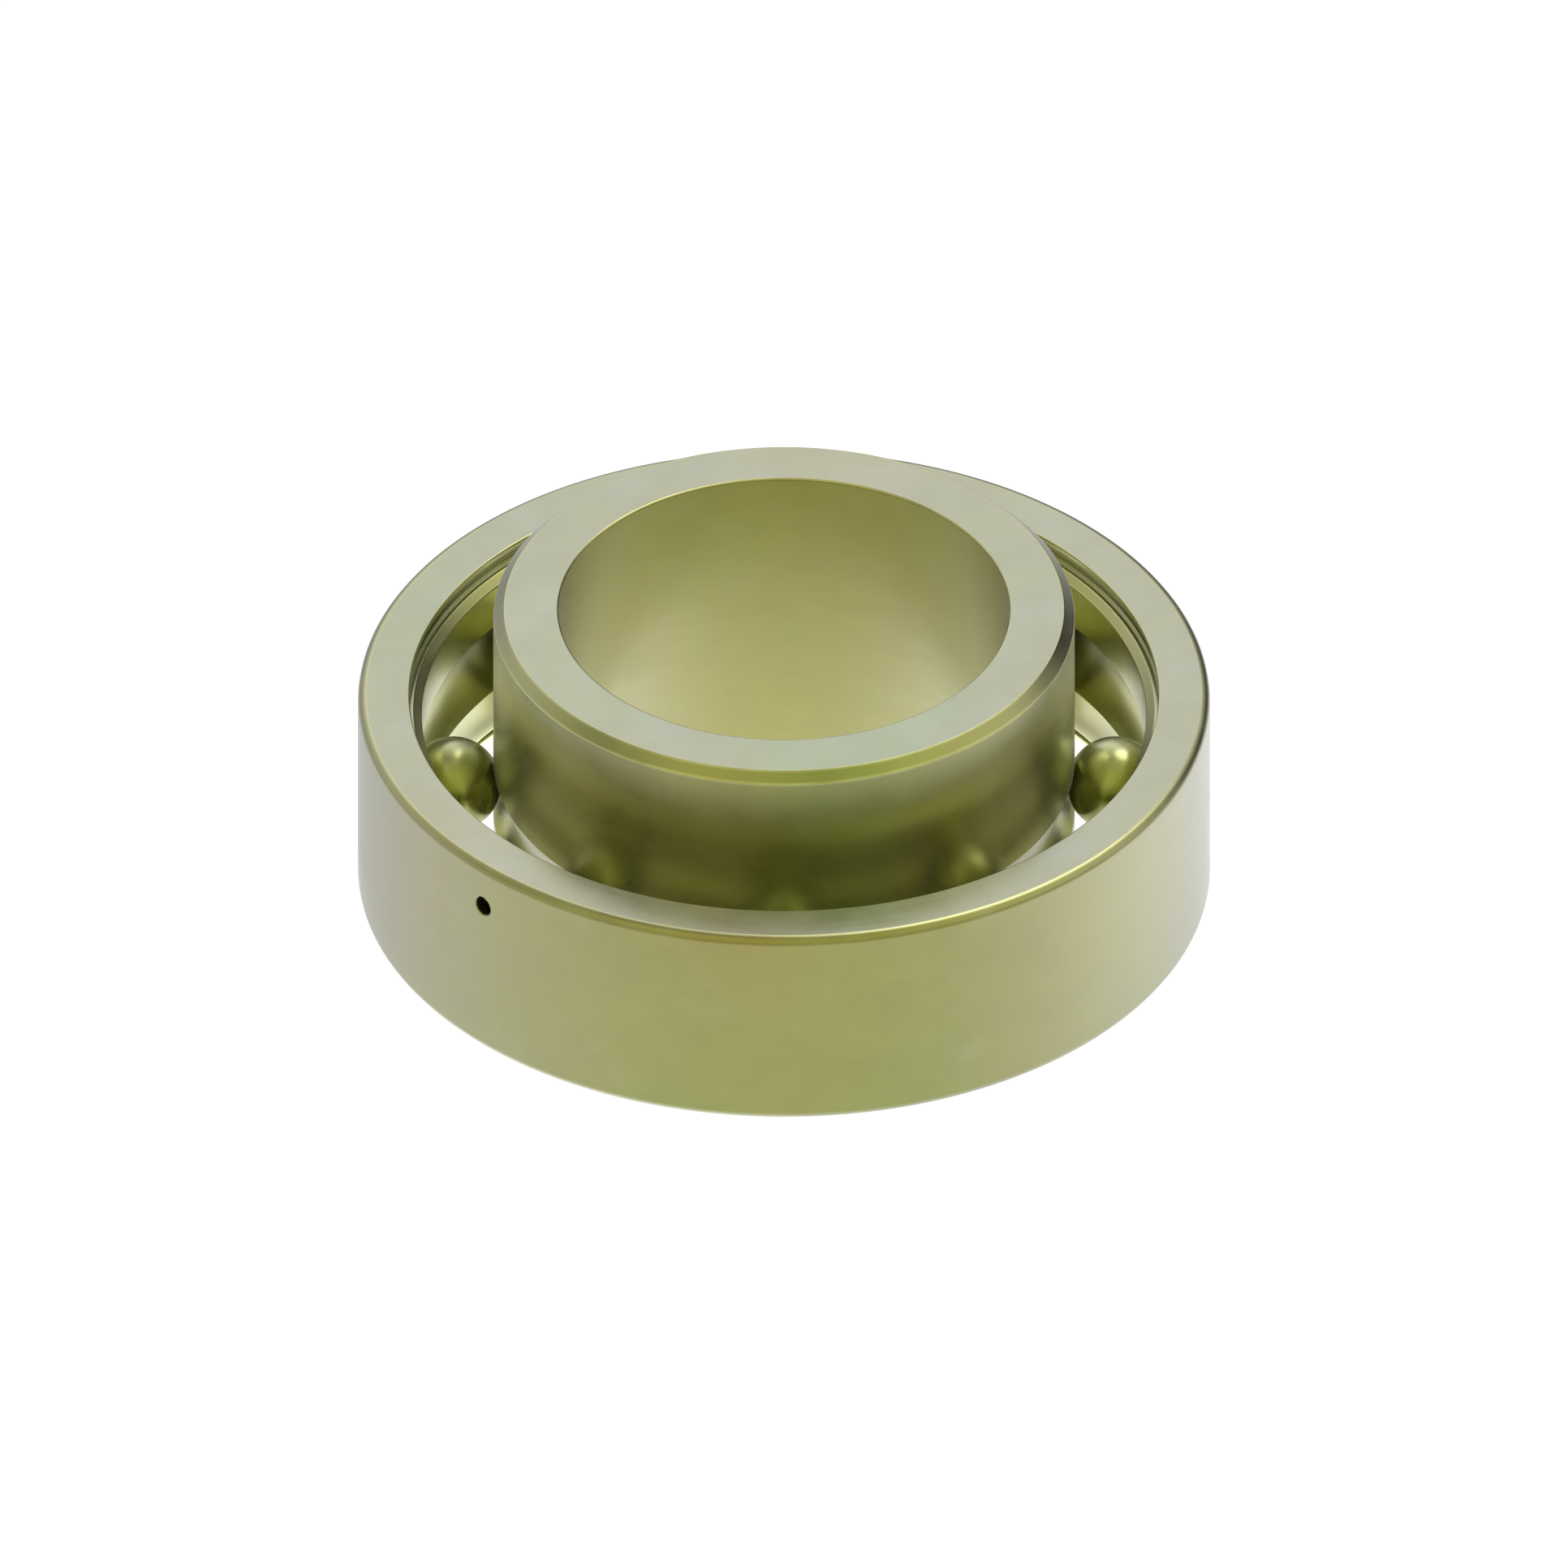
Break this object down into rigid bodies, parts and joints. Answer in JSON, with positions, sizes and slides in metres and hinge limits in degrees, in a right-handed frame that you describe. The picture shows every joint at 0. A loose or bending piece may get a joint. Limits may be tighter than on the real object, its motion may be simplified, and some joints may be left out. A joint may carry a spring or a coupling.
{
  "type": "ball bearing",
  "caption": "Radial ball bearing with a cylindrical outer ring, a lubrication hole and an inner ring that extends past both faces of the outer ring.",
  "frame": {"origin": "on the bearing's axis, at the lower end face of the inner ring; the plane of the ball centres is 19 mm above it", "axes": "+Z along the bearing's axis, from the inner ring's short side to its long side; the lubrication hole opens towards -Y; the ball centres are at multiples of 45 degrees from +X"},
  "size_m": [0.085, 0.085, 0.0404],
  "materials": {
    "outer_ring_steel": "ground bearing steel with a pale yellow-green passivated tone, satin",
    "inner_ring_steel": "ground bearing steel with a pale yellow-green passivated tone, satin",
    "ball_steel": "polished hardened steel ball, mirror-like, picking up the yellow-green of the rings",
    "cage_steel": "pressed steel, satin"
  },
  "bodies": {
    "outer_ring": {"outer_ring": "outer_ring_steel"},
    "inner_ring": {"inner_ring": "inner_ring_steel"},
    "cage": {"cage": "cage_steel"},
    "ball_1": {"ball_1": "ball_steel"},
    "ball_2": {"ball_2": "ball_steel"},
    "ball_3": {"ball_3": "ball_steel"},
    "ball_4": {"ball_4": "ball_steel"},
    "ball_5": {"ball_5": "ball_steel"},
    "ball_6": {"ball_6": "ball_steel"},
    "ball_7": {"ball_7": "ball_steel"},
    "ball_8": {"ball_8": "ball_steel"}
  },
  "joints": [
    {"name": "inner_ring_spin", "type": "hinge", "parent": "outer_ring", "child": "inner_ring", "pos_m": [0, 0, 0.019], "axis": [0, 0, 1], "continuous": true},
    {"name": "cage_spin", "type": "hinge", "parent": "outer_ring", "child": "cage", "pos_m": [0, 0, 0.019], "axis": [0, 0, 1], "continuous": true},
    {"name": "ball_1_spin", "type": "hinge", "parent": "cage", "child": "ball_1", "pos_m": [0.033, 0, 0.019], "axis": [0, 0, 1], "continuous": true},
    {"name": "ball_2_spin", "type": "hinge", "parent": "cage", "child": "ball_2", "pos_m": [0.02333, 0.02333, 0.019], "axis": [0, 0, 1], "continuous": true},
    {"name": "ball_3_spin", "type": "hinge", "parent": "cage", "child": "ball_3", "pos_m": [0, 0.033, 0.019], "axis": [0, 0, 1], "continuous": true},
    {"name": "ball_4_spin", "type": "hinge", "parent": "cage", "child": "ball_4", "pos_m": [-0.02333, 0.02333, 0.019], "axis": [0, 0, 1], "continuous": true},
    {"name": "ball_5_spin", "type": "hinge", "parent": "cage", "child": "ball_5", "pos_m": [-0.033, 0, 0.019], "axis": [0, 0, 1], "continuous": true},
    {"name": "ball_6_spin", "type": "hinge", "parent": "cage", "child": "ball_6", "pos_m": [-0.02333, -0.02333, 0.019], "axis": [0, 0, 1], "continuous": true},
    {"name": "ball_7_spin", "type": "hinge", "parent": "cage", "child": "ball_7", "pos_m": [0, -0.033, 0.019], "axis": [0, 0, 1], "continuous": true},
    {"name": "ball_8_spin", "type": "hinge", "parent": "cage", "child": "ball_8", "pos_m": [0.02333, -0.02333, 0.019], "axis": [0, 0, 1], "continuous": true}
  ],
  "couplings": [
    {"joint": "cage_spin", "follows": "inner_ring_spin", "ratio": 0.42784},
    {"joint": "ball_1_spin", "follows": "inner_ring_spin", "ratio": -3.3924},
    {"joint": "ball_2_spin", "follows": "inner_ring_spin", "ratio": -3.3924},
    {"joint": "ball_3_spin", "follows": "inner_ring_spin", "ratio": -3.3924},
    {"joint": "ball_4_spin", "follows": "inner_ring_spin", "ratio": -3.3924},
    {"joint": "ball_5_spin", "follows": "inner_ring_spin", "ratio": -3.3924},
    {"joint": "ball_6_spin", "follows": "inner_ring_spin", "ratio": -3.3924},
    {"joint": "ball_7_spin", "follows": "inner_ring_spin", "ratio": -3.3924},
    {"joint": "ball_8_spin", "follows": "inner_ring_spin", "ratio": -3.3924}
  ]
}
